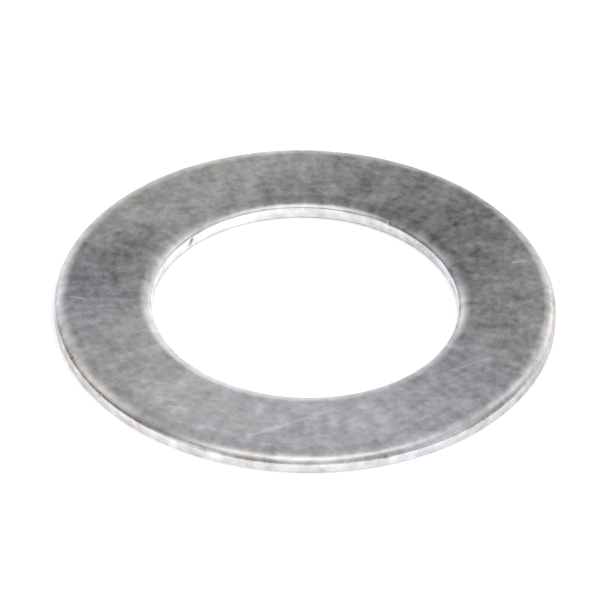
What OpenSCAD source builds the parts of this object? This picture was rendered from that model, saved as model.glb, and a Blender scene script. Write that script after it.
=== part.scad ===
// Flat washer: one piece of sheet steel, blanked and pierced in a single press stroke.
// The press draws both upper edges down into a rounded band, and tumbling breaks the two lower edges.
// The origin is the centre of the hole on the lower face, and +Z runs up along the hole.

/* [Overall size] */
// Outside diameter of the ring
outer_d = 31.75; // [28:0.05:40]
// Diameter of the hole through the ring
bore_d = 19.43; // [15:0.01:22]
// Thickness between the two flat faces
thickness = 1.22; // [1.1:0.01:3]

/* [Rounded edge of the rim] */
// Width of the rounded band, across the upper face
rim_roll_w = 1.1; // [0.9:0.05:1.4]
// Drop from the upper face to the top of the rim's straight wall
rim_roll_drop = 0.65; // [0.5:0.01:0.75]
// Radius where the rounded band turns down into the rim's wall
rim_corner_r = 0.4; // [0.1:0.01:0.45]

/* [Rounded edge of the hole] */
// Width of the rounded band, across the upper face
bore_roll_w = 0.8; // [0.75:0.05:1.2]
// Drop from the upper face to the top of the hole's straight wall
bore_roll_drop = 0.45; // [0.35:0.01:0.6]
// Radius where the rounded band turns down into the hole's wall
bore_corner_r = 0.25; // [0.1:0.01:0.3]

/* [Lower edges] */
// Radius of the two lower edges
lower_edge_r = 0.12; // [0.05:0.01:0.25]

/* [Hidden] */
outer_r = outer_d / 2;
bore_r = bore_d / 2;
// How far a lower corner's cutting shape stands out past the metal
overcut = 0.5;
// How many times the distance between its two arcs' centres an upper corner's cutting shape runs on
reach = 5;
$fn = 180;

// Radius of the long arc that leaves the upper face tangentially and turns smoothly into the corner's arc
function roll_radius(width, drop, corner_r) =
    (drop * drop - corner_r * corner_r + pow(width - corner_r, 2)) / (2 * (drop - corner_r));

// Metal that a rounded band takes off an upper corner.
// The corner is at the origin, with the ring's section to its left and below it.
module upper_corner_waste(width, drop, corner_r) {
    roll_r = roll_radius(width, drop, corner_r);
    roll_centre = [-width, -roll_r];
    corner_centre = [-corner_r, -drop];
    // The two arcs meet on the line through both centres, which runs on to this point clear of the metal
    beyond = corner_centre + reach * (corner_centre - roll_centre);
    difference() {
        polygon([roll_centre, beyond, [-width, beyond.y]]);
        translate(roll_centre) circle(r = roll_r);
    }
    difference() {
        polygon([corner_centre, [beyond.x, -drop], beyond]);
        translate(corner_centre) circle(r = corner_r);
    }
}

// Metal that the edge radius takes off a lower corner.
// The corner is at the origin, with the ring's section to its left and above it.
module lower_corner_waste(radius) {
    difference() {
        translate([-radius, -overcut]) square([radius + overcut, radius + overcut]);
        translate([-radius, radius]) circle(r = radius);
    }
}

// Half of the ring's section: X is the distance from the axis and Y is the height
module section() {
    difference() {
        translate([bore_r, 0]) square([outer_r - bore_r, thickness]);
        translate([outer_r, thickness])
            upper_corner_waste(rim_roll_w, rim_roll_drop, rim_corner_r);
        translate([bore_r, thickness]) mirror([1, 0])
            upper_corner_waste(bore_roll_w, bore_roll_drop, bore_corner_r);
        translate([outer_r, 0]) lower_corner_waste(lower_edge_r);
        translate([bore_r, 0]) mirror([1, 0]) lower_corner_waste(lower_edge_r);
    }
}

module washer() {
    color([0.58, 0.58, 0.59]) rotate_extrude() section();
}

washer();
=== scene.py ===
"""Flat washer: a stamped and tumbled steel ring, lying on a pale studio table.

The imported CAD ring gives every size. One finely divided ring mesh stands for it, with the marks that the
plain solid leaves out: uneven rounded edges, the burnished and broken bands of the two walls, small nicks
and a slightly wavy surface. The ring is worked out in millimetres and turned into metres at the end.
"""
import math
import random

import bpy
import numpy as np
from mathutils import Matrix, Vector, noise


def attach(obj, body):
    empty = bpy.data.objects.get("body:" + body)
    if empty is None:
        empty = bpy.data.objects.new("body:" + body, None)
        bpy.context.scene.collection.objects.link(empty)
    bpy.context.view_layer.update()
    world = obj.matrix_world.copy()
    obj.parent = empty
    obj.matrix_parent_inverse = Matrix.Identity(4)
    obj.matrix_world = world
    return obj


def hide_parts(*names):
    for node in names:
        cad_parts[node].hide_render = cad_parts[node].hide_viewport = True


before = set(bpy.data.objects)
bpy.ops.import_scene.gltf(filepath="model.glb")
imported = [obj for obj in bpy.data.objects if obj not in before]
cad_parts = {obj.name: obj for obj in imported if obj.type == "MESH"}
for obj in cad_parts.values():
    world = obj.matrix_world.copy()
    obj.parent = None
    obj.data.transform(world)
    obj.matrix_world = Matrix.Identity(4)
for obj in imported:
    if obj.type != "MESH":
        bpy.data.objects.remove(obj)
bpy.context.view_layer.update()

MM = 0.001
NODE = "washer"
RIM_CORNER = 0.40         # radius where the rim's rounded upper edge turns down into its wall
BORE_CORNER = 0.25        # the same at the hole


# ---------------------------------------------------------------- sizes, read from the CAD ring

def ring_sizes():
    """Radii and heights of the CAD ring, and the (width, drop, corner radius) of its rounded upper edges."""
    points = np.array([v.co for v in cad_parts[NODE].data.vertices]) / MM
    radius = np.hypot(points[:, 0], points[:, 1])
    height = points[:, 2]
    slack = 0.002
    top, outer, bore = height.max(), radius.max(), radius.min()
    on_top = radius[height > top - slack]
    on_bottom = radius[height < slack]
    return {
        "outer": outer,
        "bore": bore,
        "top": top,
        "rim_roll": (outer - on_top.max(), top - height[radius > outer - slack].max(), RIM_CORNER),
        "bore_roll": (on_top.min() - bore, top - height[radius < bore + slack].max(), BORE_CORNER),
        "lower_edge": outer - on_bottom.max(),
    }


SIZE = ring_sizes()
OUTER = SIZE["outer"]
BORE = SIZE["bore"]
TOP = SIZE["top"]


# ---------------------------------------------------------------- the ring's section

AROUND = 680              # divisions around the ring


def arc(centre, radius, start, stop, count):
    """Points (x, z, normal x, normal z) on an arc; angles in degrees, 0 along +X and 90 up."""
    out = []
    for angle in np.radians(np.linspace(start, stop, count)):
        nx, nz = math.cos(angle), math.sin(angle)
        out.append((centre[0] + radius * nx, centre[1] + radius * nz, nx, nz))
    return out


def line(start, stop, normal, count):
    """Points between two ends, without the ends themselves."""
    xs = np.linspace(start[0], stop[0], count + 2)[1:-1]
    zs = np.linspace(start[1], stop[1], count + 2)[1:-1]
    return [(x, z, *normal) for x, z in zip(xs, zs)]


def upper_edge(width, drop, corner):
    """The rounded upper edge, from the flat out to the wall, with the wall at x = 0 and the top at z = 0.

    A long arc leaves the flat and turns smoothly into the corner's arc, which ends on the wall at z = -drop.
    """
    roll = (drop ** 2 - corner ** 2 + (width - corner) ** 2) / (2 * (drop - corner))
    meet = math.degrees(math.atan2(roll - drop, width - corner))
    return arc((-width, -roll), roll, 90, meet, 20) + arc((-corner, -drop), corner, meet, 0, 12)[1:]


def lower_edge(radius):
    """The small lower edge from the wall in to the bottom face, as if the wall stood at x = 0."""
    return arc((-radius, radius), radius, 0, -90, 6)


def rim_edge(angle):
    """The rim's rounded edge: the press leaves it deepest towards -Y and narrowest towards +X."""
    width, drop, corner = SIZE["rim_roll"]
    width *= 1 - 0.25 * ((1 + math.cos(angle)) / 2) ** 2
    return upper_edge(width, drop * (1 - 0.10 * math.sin(angle)), corner)


def bore_edge(angle):
    """The hole's rounded edge: largest towards +X, smallest towards -Y, with its softest corners along X."""
    width, drop, corner = SIZE["bore_roll"]
    across, away, along_x = math.cos(angle), math.sin(angle), math.cos(2 * angle)
    width *= 1.165 + 0.12 * across + 0.09 * away + 0.08 * along_x
    drop *= 1.05 + 0.12 * across + 0.16 * away + 0.15 * along_x
    return upper_edge(width, drop, corner * (0.8 + 0.2 * along_x))


def section(angle):
    """The ring's closed section: rows of (radius, height, normal out, normal up), in millimetres."""
    rim_top = [(OUTER + x, TOP + z, nx, nz) for x, z, nx, nz in rim_edge(angle)]
    rim_low = [(OUTER + x, z, nx, nz) for x, z, nx, nz in lower_edge(SIZE["lower_edge"])]
    bore_top = [(BORE - x, TOP + z, -nx, nz) for x, z, nx, nz in bore_edge(angle)]
    bore_low = [(BORE - x, z, -nx, nz) for x, z, nx, nz in lower_edge(SIZE["lower_edge"])]
    rows = rim_top + line(rim_top[-1][:2], rim_low[0][:2], (1, 0), 10) + rim_low
    rows += line(rim_low[-1][:2], bore_low[-1][:2], (0, -1), 20)
    rows += bore_low[::-1] + line(bore_low[0][:2], bore_top[-1][:2], (-1, 0), 12) + bore_top[::-1]
    rows += line(bore_top[0][:2], rim_top[0][:2], (0, 1), 30)
    return np.array(rows)


# ---------------------------------------------------------------- press marks and wear in the surface, and painted light and shade

def smooth(low, high, value):
    """0 below low, 1 above high, with an even turn between them."""
    share = np.clip((value - low) / (high - low), 0, 1)
    return share * share * (3 - 2 * share)


def field(points, scale, seed):
    """Smooth noise of about -1 to 1 at each point; scale is the number of patches in a millimetre."""
    shift = Vector((seed * 7.31, seed * 3.17, seed * 5.71))
    return np.array([noise.noise(Vector(p) * scale + shift) for p in points])


def dents(points, count, size, depth, seed):
    """Shallow round dents scattered over the upper face."""
    rng = random.Random(seed)
    out = np.zeros(len(points))
    for _ in range(count):
        radius = math.sqrt(rng.uniform(BORE ** 2, OUTER ** 2))
        angle = rng.uniform(0, 2 * math.pi)
        spot = np.array((radius * math.cos(angle), radius * math.sin(angle), TOP))
        reach = rng.uniform(*size)
        distance2 = ((points - spot) ** 2).sum(1)
        out -= rng.uniform(*depth) * np.exp(-distance2 / (2 * reach ** 2))
    return out


# Small stained nicks: (angle in degrees, radius, height, size, darkness of the stain)
NICKS = [
    (139.0, BORE, 0.60, 0.12, 0.75),
    (139.8, BORE, 0.38, 0.10, 0.60),
    (57.0, BORE + 0.08, 0.86, 0.10, 0.22),
    (217.0, OUTER - 0.02, 0.66, 0.10, 0.34),
    (289.0, OUTER - 0.02, 0.68, 0.11, 0.34),
    (203.0, OUTER - 0.10, 0.80, 0.08, 0.30),
]
NICK_DEPTH = 0.030


def nick_place(angle, radius, height):
    turn = math.radians(angle)
    return radius * math.cos(turn), radius * math.sin(turn), height


def nicks(points):
    """How deep the nicks go at each point."""
    out = np.zeros(len(points))
    for angle, radius, height, size, _ in NICKS:
        distance2 = ((points - np.array(nick_place(angle, radius, height))) ** 2).sum(1)
        out -= NICK_DEPTH * np.exp(-distance2 / (2 * size ** 2))
    return out


def wall_marks(points, weight, edge, seed):
    """The broken lower band of a punched wall: a little lower than the burnished band above it, and rough."""
    flat = points * (1, 1, 0)
    border = edge + 0.06 * field(flat, 0.55, seed) + 0.03 * field(flat, 2.4, seed + 1)
    broken = 1 - smooth(-0.03, 0.03, points[:, 2] - border)
    rough = 0.5 * field(points, 3.4, seed + 2) + 0.5 * field(points, 6.5, seed + 3)
    return weight * broken * (-0.022 + 0.014 * rough), weight * broken


def surface_height(base, outward, upward, marks):
    """How far each point stands out from the plain section; outward and upward are its normal's parts."""
    roll = smooth(0.0, 0.35, np.abs(outward)) * smooth(0.0, 0.3, upward)
    flat = base * (1, 1, 0)
    height = marks + roll * (0.020 * field(flat, 0.16, 21) + 0.006 * field(flat, 1.1, 23))
    height += smooth(0.9, 1.0, upward) * 0.006 * field(base, 0.12, 31)
    height += 0.0025 * field(base, 0.9, 41)
    height += np.maximum(upward, 0) * dents(base, 90, (0.15, 0.5), (0.001, 0.006), 5)
    height += nicks(base)
    # The lower face only goes inwards, so that the ring lies on the table
    return np.where(upward < -0.5, -np.abs(height), height)


# How much paler than the dull faces the metal is: on the rim's wall and on the hole's wall; and the painted
# # highlight, a paler band painted on the hole's rounded edge towards +Y, the far side
RIM_SHINE, BORE_SHINE, PAINTED_HIGHLIGHT_TONE = 0.08, 0.38, 0.25


def surface_layers(outward, upward, wall, broken, towards_y):
    """Values at each point that the material reads: which part of the ring it is on, how worn it is, and
    where a highlight and a shade line are painted.
    """
    rolled_down = smooth(0.0, 0.25, upward)
    # painted highlight: the hole's rounded edge is made paler towards +Y, standing in for a bright reflection
    # there
    painted_highlight = smooth(0.50, 0.64, -outward) * rolled_down * (1 - wall) * np.maximum(towards_y, 0) ** 2
    return {
        "broken": broken,
        "wall": wall,
        "paleness_and_painted_highlight": wall * np.where(outward > 0, RIM_SHINE, BORE_SHINE) + PAINTED_HIGHLIGHT_TONE * painted_highlight,
        # lip: the band where the rim's rounded edge turns into its wall, which carries the painted shade line
        "lip": smooth(0.62, 0.85, outward) * smooth(0.0, 0.12, upward) * smooth(0.62, 0.45, upward),
        "worn": smooth(0.40, 0.65, np.abs(outward)) * rolled_down,
        "rim": smooth(0.2, 0.6, outward),
    }


def ring_faces(count):
    """Four-sided faces between the sections, which have count points each."""
    ring = np.arange(AROUND)[:, None] * count
    step = np.arange(count)[None, :]
    after = (step + 1) % count
    beyond = (ring + count) % (AROUND * count)
    return np.stack([ring + step, ring + after, beyond + after, beyond + step], -1).reshape(-1, 4)


def build_ring():
    angles = np.linspace(0, 2 * math.pi, AROUND, endpoint=False)
    rows = np.array([section(angle) for angle in angles])
    count = rows.shape[1]
    cos, sin = np.cos(angles)[:, None], np.sin(angles)[:, None]
    base = np.stack([cos * rows[:, :, 0], sin * rows[:, :, 0], rows[:, :, 1]], -1).reshape(-1, 3)
    normal = np.stack([cos * rows[:, :, 2], sin * rows[:, :, 2], rows[:, :, 3]], -1).reshape(-1, 3)
    outward, upward = rows[:, :, 2].ravel(), rows[:, :, 3].ravel()

    wall = smooth(0.80, 0.98, np.abs(outward))
    rim_marks, rim_broken = wall_marks(base, wall * (outward > 0), 0.40, 3)
    bore_marks, bore_broken = wall_marks(base, wall * (outward < 0), 0.36, 9)
    height = surface_height(base, outward, upward, rim_marks + bore_marks)
    points = (base + normal * height[:, None]) * MM
    points[:, 2] = np.maximum(points[:, 2], 0)

    mesh = bpy.data.meshes.new("washer_ring")
    mesh.from_pydata(points.tolist(), [], ring_faces(count).tolist())
    mesh.shade_smooth()
    layers = surface_layers(outward, upward, wall, rim_broken + bore_broken, np.repeat(np.sin(angles), count))
    for name, values in layers.items():
        mesh.attributes.new(name, "FLOAT", "POINT").data.foreach_set("value", values.astype(np.float32))
    mesh.update()
    ring = bpy.data.objects.new("washer_ring", mesh)
    bpy.context.scene.collection.objects.link(ring)
    return ring


# ---------------------------------------------------------------- helpers for shader nodes

def add(tree, kind, values=None, out=0, **settings):
    """A shader node. values maps a socket to a number, a colour or another node's output."""
    made = tree.nodes.new(kind)
    for name, value in settings.items():
        setattr(made, name, value)
    for key, value in (values or {}).items():
        if isinstance(value, bpy.types.NodeSocket):
            tree.links.new(value, made.inputs[key])
        else:
            made.inputs[key].default_value = value
    return made.outputs[out] if made.outputs else None


def calc(tree, operation, a, b=0.0, c=0.0):
    return add(tree, "ShaderNodeMath", {0: a, 1: b, 2: c}, operation=operation)


def remap(tree, value, low, high, to_low, to_high):
    return add(tree, "ShaderNodeMapRange",
               {"Value": value, "From Min": low, "From Max": high, "To Min": to_low, "To Max": to_high},
               interpolation_type="SMOOTHSTEP")


def cloud(tree, where, scale, detail=2.0, rough=0.5):
    return add(tree, "ShaderNodeTexNoise",
               {"Vector": where, "Scale": scale, "Detail": detail, "Roughness": rough})


def stretched(tree, where, angle, along, across):
    """Coordinates turned by angle about Z, then scaled along and across that direction."""
    turned = add(tree, "ShaderNodeVectorRotate", {"Vector": where, "Angle": -math.radians(angle)},
                 rotation_type="Z_AXIS")
    return add(tree, "ShaderNodeVectorMath", {0: turned, 1: (along, across, across)}, operation="MULTIPLY")


def spot(tree, where, centre, reach):
    """1 at a place, falling away smoothly; reach is the distance at which it is 0.6."""
    distance = add(tree, "ShaderNodeVectorMath", {0: where, 1: centre}, out=1, operation="DISTANCE")
    share = calc(tree, "DIVIDE", distance, reach)
    return calc(tree, "EXPONENT", calc(tree, "MULTIPLY", calc(tree, "MULTIPLY", share, share), -0.5))


def scratch(tree, where, start, stop, width):
    """1 along a straight scratch between two places on the upper face, thinning out towards both ends."""
    length = math.dist(start, stop)
    along = ((stop[0] - start[0]) / length, (stop[1] - start[1]) / length)
    offset = add(tree, "ShaderNodeVectorMath", {0: where, 1: (*start, 0)}, operation="SUBTRACT")
    run = add(tree, "ShaderNodeVectorMath", {0: offset, 1: (along[0] / length, along[1] / length, 0)},
              out=1, operation="DOT_PRODUCT")
    aside = add(tree, "ShaderNodeVectorMath", {0: offset, 1: (-along[1], along[0], 0)},
                out=1, operation="DOT_PRODUCT")
    body = calc(tree, "MULTIPLY", remap(tree, run, 0.0, 0.2, 0.0, 1.0), remap(tree, run, 0.7, 1.0, 1.0, 0.0))
    return calc(tree, "MULTIPLY", body, remap(tree, calc(tree, "ABSOLUTE", aside), 0.0, width, 1.0, 0.0))


def flecks(tree, where, scale, size, share):
    """Tiny round spots in a share of the cells of a grid; size is a spot's radius as a part of a cell."""
    cells = tree.nodes.new("ShaderNodeTexVoronoi")
    cells.inputs["Scale"].default_value = scale
    tree.links.new(where, cells.inputs["Vector"])
    chosen = tree.nodes.new("ShaderNodeSeparateColor")
    tree.links.new(cells.outputs["Color"], chosen.inputs[0])
    picked = calc(tree, "LESS_THAN", chosen.outputs[0], share)
    return calc(tree, "MULTIPLY", picked, remap(tree, cells.outputs["Distance"], 0.0, size, 1.0, 0.0))


def centred(tree, value):
    return calc(tree, "SUBTRACT", value, 0.5)


def shifted(tree, value, amount, weight):
    """value + amount * weight."""
    return calc(tree, "MULTIPLY_ADD", weight, amount, value)


def mixed(tree, value, weights, amounts):
    """value, shifted by each named weight times its amount."""
    for name, amount in amounts.items():
        value = shifted(tree, value, amount, weights[name])
    return value


# ---------------------------------------------------------------- the steel

STEEL_TONE = 0.55
STEEL_ROUGHNESS = 0.40
BUMP_STRENGTH, BUMP_DISTANCE = 0.3, 0.00001

# How much each part of the surface changes the tone, the roughness and the bump's height
TONE = {"patches": 0.34, "clumps": 0.36, "mottle": 0.40, "grain": 0.20, "rolled": 0.12, "streaks": 0.09,
        "sheared": 0.15, "bright": 0.20, "dark": -0.12, "stain": -1.0}
ROUGHNESS = {"patches": 0.12, "mottle": 0.22, "grain": 0.10, "broken": 0.12, "sheared": 0.14, "worn": -0.13}
HEIGHT = {"mottle": 0.9, "grain": 0.6, "rolled": 0.4, "streaks": 0.4, "sheared": 0.8, "bright": -0.3,
          "dark": -0.4}
# How much each changes red and blue against green
RED = {"cool": -0.022, "land": 0.022, "rim": 0.022, "warm": 0.10}
BLUE = {"cool": 0.045, "land": 0.022, "rim": -0.042, "warm": -0.16}
STEEL_BLUE = 1.015        # the metal's own blue against its green
PAINTED_LIP_SHADE = -0.10        # painted shade: change of tone in the darker brown line painted under the rim's rounded edge

# Broad areas of the upper face, partly uneven tumbling and partly painted light and shade, lighter on the
# near (-Y)
# # side and darker towards far +X: (x, y, reach, change of tone)
TONE_AND_PAINTED_LIGHT_AREAS = [
    (-6.5, -9.5, 5.0, 0.23),
    (3.5, -12.0, 5.5, 0.17),
    (8.9, 8.2, 6.3, -0.23),
    (12.5, -6.0, 3.8, -0.08),
    (-12.0, 2.5, 3.5, -0.13),
    (-5.0, 14.0, 4.5, 0.08),
    (0.0, 10.4, 2.2, -0.06),
]
# The long soft scratches: (start, stop, half-width, change of tone)
SCRATCHES = [
    ((-4.3, -14.4), (2.4, -10.9), 0.24, 0.15),
    ((-3.2, -14.4), (2.6, -11.6), 0.60, -0.06),
    ((8.9, -7.3), (12.1, -5.5), 0.20, 0.14),
    ((-10.6, -8.7), (-7.8, -9.0), 0.20, 0.09),
    ((-10.9, -9.5), (-8.2, -9.9), 0.24, 0.10),
    ((-9.4, -10.3), (-7.2, -10.7), 0.20, 0.10),
    ((-8.6, -11.1), (-6.6, -11.6), 0.22, 0.09),
    ((-15.0, -0.4), (-13.9, -0.7), 0.14, 0.26),
    ((13.0, 3.9), (14.2, 4.2), 0.14, 0.26),
    ((5.6, -13.2), (8.4, -11.0), 0.22, 0.08),
    ((-12.9, 6.0), (-11.2, 7.4), 0.20, 0.07),
]


def texture(tree, where, layers):
    """Clouds, streaks, specks and stains, each centred on 0 or growing from it."""
    rolling = stretched(tree, where, 33, 0.6, 3.6)
    tumbling = stretched(tree, where, 150, 0.7, 4.0)
    upright = add(tree, "ShaderNodeVectorMath", {0: where, 1: (2.2, 2.2, 0.25)}, operation="MULTIPLY")
    stain = 0.0
    for angle, radius, height, size, darkness in NICKS:
        stain = shifted(tree, stain, darkness, spot(tree, where, nick_place(angle, radius, height), size))
    return {
        "patches": centred(tree, cloud(tree, where, 0.45, 3.0, 0.55)),
        "clumps": centred(tree, cloud(tree, where, 0.95, 2.0, 0.5)),
        "mottle": centred(tree, cloud(tree, where, 1.8, 4.0, 0.62)),
        "grain": centred(tree, cloud(tree, where, 7.0, 3.0, 0.6)),
        "rolled": centred(tree, cloud(tree, rolling, 1.0, 3.0, 0.6)),
        "streaks": centred(tree, cloud(tree, tumbling, 1.0, 3.0, 0.6)),
        "sheared": calc(tree, "MULTIPLY", centred(tree, cloud(tree, upright, 1.0, 3.0, 0.6)), layers["wall"]),
        "bright": flecks(tree, where, 2.4, 0.17, 0.17),
        "dark": flecks(tree, stretched(tree, where, 20, 1.0, 1.0), 1.9, 0.20, 0.14),
        "stain": stain,
    }


def steel_tone(tree, where, parts):
    """The grey tone: the metal's own with the walls' paleness and the painted highlight, then its texture,
    the uneven areas with their painted light and shade, the scratches and the painted shade line.
    """
    tone = mixed(tree, calc(tree, "ADD", parts["paleness_and_painted_highlight"], STEEL_TONE), parts, TONE)
    # painted light and shade together with the real uneven tone: broad lighter and darker areas of the upper
    # face
    for x, y, reach, change in TONE_AND_PAINTED_LIGHT_AREAS:
        tone = shifted(tree, tone, change, spot(tree, where, (x, y, TOP), reach))
    upper = remap(tree, add(tree, "ShaderNodeSeparateXYZ", {0: where}, out=2), 0.3, 0.6, 0.0, 1.0)
    for start, stop, width, change in SCRATCHES:
        mark = calc(tree, "MULTIPLY", scratch(tree, where, start, stop, width), upper)
        tone = shifted(tree, tone, change, mark)
    return shifted(tree, tone, PAINTED_LIP_SHADE, parts["painted_lip_shade"])


def tints(tree, where, parts):
    """Where the metal is cooler, where its burnished land is, and where it is warmer: the nicks' stains, the
    painted shade line under the rim's rounded edge and an area on the +X rim.
    """
    cool = add(tree, "ShaderNodeVectorMath", {0: where, 1: (0.707 / OUTER, -0.707 / OUTER, 0)},
               out=1, operation="DOT_PRODUCT")
    cool = shifted(tree, cool, 2.4, centred(tree, cloud(tree, where, 0.6, 3.0, 0.5)))
    cool = shifted(tree, cool, 2.2, spot(tree, where, (-16.0, 0.5, TOP), 3.5))
    # painted shade: a darker, brownish line under the rim's rounded edge, broken up by the patches
    painted_lip_shade = calc(tree, "MULTIPLY", parts["lip"], remap(tree, parts["patches"], -0.12, 0.10, 1.0, 0.0))
    warm = shifted(tree, calc(tree, "MULTIPLY", painted_lip_shade, 0.55), 1.6, parts["stain"])
    warm = shifted(tree, warm, 0.35, spot(tree, where, (16.0, -1.0, TOP), 3.5))
    land = calc(tree, "SUBTRACT", parts["wall"], calc(tree, "MULTIPLY", parts["broken"], 1.8))
    return {"cool": cool, "land": land, "warm": warm, "painted_lip_shade": painted_lip_shade}


def steel():
    """Tumbled steel: a cloudy dull grey with a fine grain, tiny specks and a few long scratches."""
    material = bpy.data.materials.new("tumbled_steel")
    material.use_nodes = True
    tree = material.node_tree
    tree.nodes.clear()
    place = add(tree, "ShaderNodeTexCoord", out=3)
    where = add(tree, "ShaderNodeVectorMath", {0: place, "Scale": 1 / MM}, operation="SCALE")
    parts = {}
    for name in ("broken", "wall", "paleness_and_painted_highlight", "lip", "worn", "rim"):
        parts[name] = add(tree, "ShaderNodeAttribute", out=2, attribute_name=name)
    parts.update(texture(tree, where, parts))
    parts.update(tints(tree, where, parts))

    green = steel_tone(tree, where, parts)
    red = calc(tree, "MULTIPLY", green, mixed(tree, 1.0, parts, RED))
    blue = calc(tree, "MULTIPLY", green, mixed(tree, STEEL_BLUE, parts, BLUE))
    colour = add(tree, "ShaderNodeCombineColor", {0: red, 1: green, 2: blue})
    rough = mixed(tree, STEEL_ROUGHNESS, parts, ROUGHNESS)
    height = mixed(tree, 0.0, parts, HEIGHT)
    bump = add(tree, "ShaderNodeBump",
               {"Strength": BUMP_STRENGTH, "Distance": BUMP_DISTANCE, "Height": height})
    shader = add(tree, "ShaderNodeBsdfPrincipled",
                 {"Base Color": colour, "Metallic": 1.0, "Roughness": rough, "Normal": bump})
    add(tree, "ShaderNodeOutputMaterial", {"Surface": shader})
    return material


# ---------------------------------------------------------------- studio

VIEW_ELEVATION = math.radians(38.5)
VIEW_ROLL = math.radians(1.17)
VIEW_DISTANCE = 24.5      # in outer radii
SENSOR_WIDTH = 36.0
RADIUS_SHARE = 0.418      # share of the picture's width that the ring's outer radius takes
CENTRE_SHARE = (0.0085, 0.0070)     # how far the ring's centre sits right of and below the picture's centre
ROOM_GLOW = 0.10
# The studio's soft lights: (azimuth from +Y towards +X, height, half-width, all in degrees, radiance)
SOFT_LIGHTS = [
    (180, 57, 9, 1.90),
    (147, 58, 9, 1.20),
    (114, 52, 9, 1.00),
    (-136, 57, 9, 1.65),
    (168, 14, 20, 0.85),
    (70, 38, 12, 1.35),
    (44, 0, 20, 2.62),
    (-71, 35, 12, 1.40),
    (-32, 14, 11, 2.50),
    (114, 21, 11, 1.15),
    (-133, 19, 9, 1.88),
    (8, 74, 25, 0.44),
    (20, 25, 8, 1.30),
    (0, 14, 8, 0.90),
]


def make_camera():
    """A long lens above the near side of the ring, tipped a little to one side."""
    data = bpy.data.cameras.new("camera")
    camera = bpy.data.objects.new("camera", data)
    bpy.context.scene.collection.objects.link(camera)
    data.sensor_width = SENSOR_WIDTH
    data.lens = RADIUS_SHARE * VIEW_DISTANCE * SENSOR_WIDTH
    data.clip_start = 0.01
    back = Vector((0, -math.cos(VIEW_ELEVATION), math.sin(VIEW_ELEVATION)))
    level_right = Vector((1, 0, 0))
    level_up = back.cross(level_right)
    right = level_right * math.cos(VIEW_ROLL) + level_up * math.sin(VIEW_ROLL)
    up = level_up * math.cos(VIEW_ROLL) - level_right * math.sin(VIEW_ROLL)
    picture_width = OUTER * MM / RADIUS_SHARE
    centre = Vector((0, 0, TOP * MM / 2))
    aim = centre + (up * CENTRE_SHARE[1] - right * CENTRE_SHARE[0]) * picture_width
    place = aim + back * VIEW_DISTANCE * OUTER * MM
    turn = Matrix((right, up, back)).transposed()
    camera.matrix_world = Matrix.Translation(place) @ turn.to_4x4()
    bpy.context.scene.camera = camera


TABLE_COLOUR = (0.90, 0.89, 0.93, 1)
TABLE_GLOW = 0.58
TABLE_SHADED_GLOW = 0.4   # share of the glow that is left where something stands right over the table
TABLE_SHADE_REACH = 0.0008


def table_material():
    """A pale matt table whose small glow fades in the shade right beside the ring."""
    material = bpy.data.materials.new("pale_table")
    material.use_nodes = True
    tree = material.node_tree
    shader = tree.nodes["Principled BSDF"]
    shader.inputs["Base Color"].default_value = TABLE_COLOUR
    shader.inputs["Roughness"].default_value = 0.9
    shader.inputs["Specular IOR Level"].default_value = 0.1
    shader.inputs["Emission Color"].default_value = (1, 1, 1, 1)
    open_sky = add(tree, "ShaderNodeAmbientOcclusion", {"Distance": TABLE_SHADE_REACH}, out=1, samples=8)
    glow = remap(tree, open_sky, 0.0, 1.0, TABLE_SHADED_GLOW * TABLE_GLOW, TABLE_GLOW)
    tree.links.new(glow, shader.inputs["Emission Strength"])
    return material


def make_floor():
    mesh = bpy.data.meshes.new("floor")
    reach = 3.0
    level = -0.00001          # a hair below the ring, so that their faces don't coincide
    corners = [(-reach, -reach, level), (reach, -reach, level), (reach, reach, level), (-reach, reach, level)]
    mesh.from_pydata(corners, [], [(0, 1, 2, 3)])
    floor = bpy.data.objects.new("floor", mesh)
    bpy.context.scene.collection.objects.link(floor)
    mesh.materials.append(table_material())


def make_world():
    """A dim grey room with soft round lights: high ones on the camera's side, lower ones on the others."""
    world = bpy.data.worlds.new("studio")
    bpy.context.scene.world = world
    world.use_nodes = True
    tree = world.node_tree
    tree.nodes.clear()
    direction = add(tree, "ShaderNodeTexCoord")
    glow = ROOM_GLOW
    for azimuth, height, half_width, radiance in SOFT_LIGHTS:
        turn, rise = math.radians(azimuth), math.radians(height)
        middle = (math.sin(turn) * math.cos(rise), math.cos(turn) * math.cos(rise), math.sin(rise))
        facing = add(tree, "ShaderNodeVectorMath", {0: direction, 1: middle}, out=1, operation="DOT_PRODUCT")
        narrow = 1 / math.radians(half_width) ** 2
        fall = calc(tree, "EXPONENT", calc(tree, "MULTIPLY_ADD", facing, narrow, -narrow))
        glow = calc(tree, "MULTIPLY_ADD", fall, radiance, glow)
    background = add(tree, "ShaderNodeBackground", {"Strength": glow})
    add(tree, "ShaderNodeOutputWorld", {"Surface": background})


def make_studio():
    make_floor()
    make_world()
    bpy.context.scene.view_settings.view_transform = "Standard"


# ---------------------------------------------------------------- build

make_camera()
make_studio()
washer = build_ring()
washer.data.materials.append(steel())
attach(washer, "root")
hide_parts(NODE)
